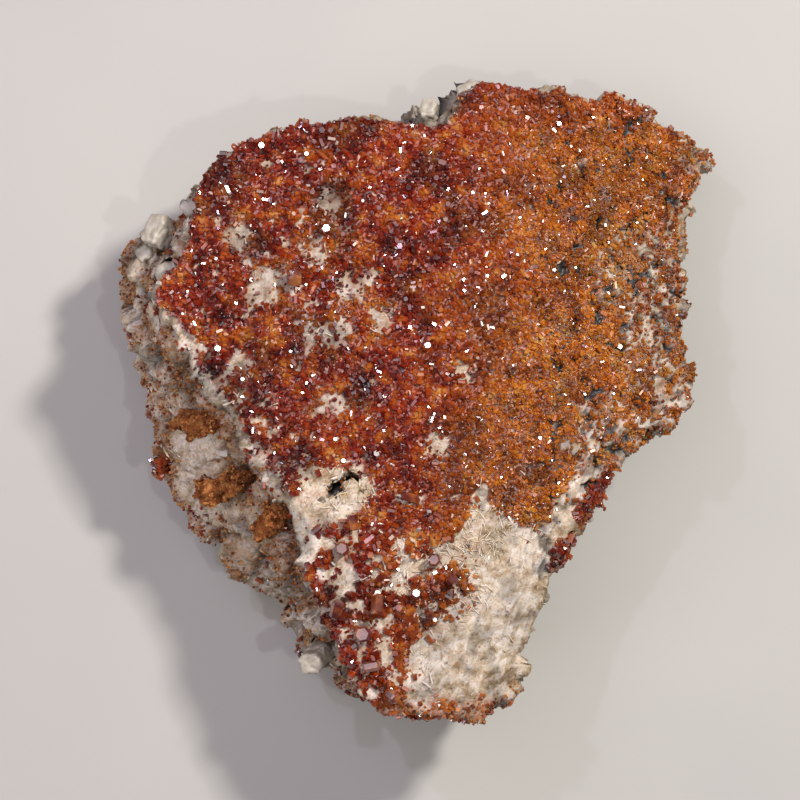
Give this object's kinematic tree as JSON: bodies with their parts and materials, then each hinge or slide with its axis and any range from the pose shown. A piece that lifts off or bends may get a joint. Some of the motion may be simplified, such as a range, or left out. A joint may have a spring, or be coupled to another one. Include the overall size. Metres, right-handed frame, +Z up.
{
  "type": "vanadinite on matrix specimen",
  "caption": "Mineral specimen: a carpet of small red to orange hexagonal vanadinite crystals on a broken lump of cream barite that rests on a flat foot.",
  "frame": {"origin": "under the middle of the specimen's bounding box, on the surface that it stands on", "axes": "+Z up through the crystal-bearing face, +Y along the long way towards the grey ledge, +X towards the corner that slopes away"},
  "size_m": [0.086, 0.0924, 0.0354],
  "materials": {
    "barite": "dull cream stone, rough, broken",
    "barite_crystal": "waxy, cloudy white crystal",
    "vanadinite": "sparkling crust of small glossy crystals",
    "vanadinite_crystal": "glossy, adamantine, red-brown",
    "iron_oxide": "earthy, matt ochre"
  },
  "bodies": {
    "root": {"barite_matrix": "barite", "vanadinite_carpet": "vanadinite", "vanadinite_crust_east": "vanadinite", "vanadinite_crust_southeast": "vanadinite", "vanadinite_crust_south": "vanadinite", "vanadinite_crust_west": "vanadinite", "iron_oxide_crust_upper": "iron_oxide", "iron_oxide_crust_middle": "iron_oxide", "iron_oxide_crust_lower": "iron_oxide", "vanadinite_crystal_01": "vanadinite_crystal", "vanadinite_crystal_02": "vanadinite_crystal", "vanadinite_crystal_03": "vanadinite_crystal", "vanadinite_crystal_04": "vanadinite_crystal", "vanadinite_crystal_05": "vanadinite_crystal", "vanadinite_crystal_06": "vanadinite_crystal", "vanadinite_crystal_07": "vanadinite_crystal", "vanadinite_crystal_08": "vanadinite_crystal", "vanadinite_crystal_09": "vanadinite_crystal", "vanadinite_crystal_10": "vanadinite_crystal", "vanadinite_crystal_11": "vanadinite_crystal", "vanadinite_crystal_12": "vanadinite_crystal", "vanadinite_crystal_13": "vanadinite_crystal", "vanadinite_crystal_14": "vanadinite_crystal", "vanadinite_crystal_15": "vanadinite_crystal", "vanadinite_crystal_16": "vanadinite_crystal", "barite_blade_01": "barite_crystal", "barite_blade_02": "barite_crystal", "barite_blade_03": "barite_crystal", "barite_blade_04": "barite_crystal", "barite_blade_05": "barite_crystal", "barite_blade_06": "barite_crystal", "barite_blade_07": "barite_crystal"}
  },
  "joints": []
}
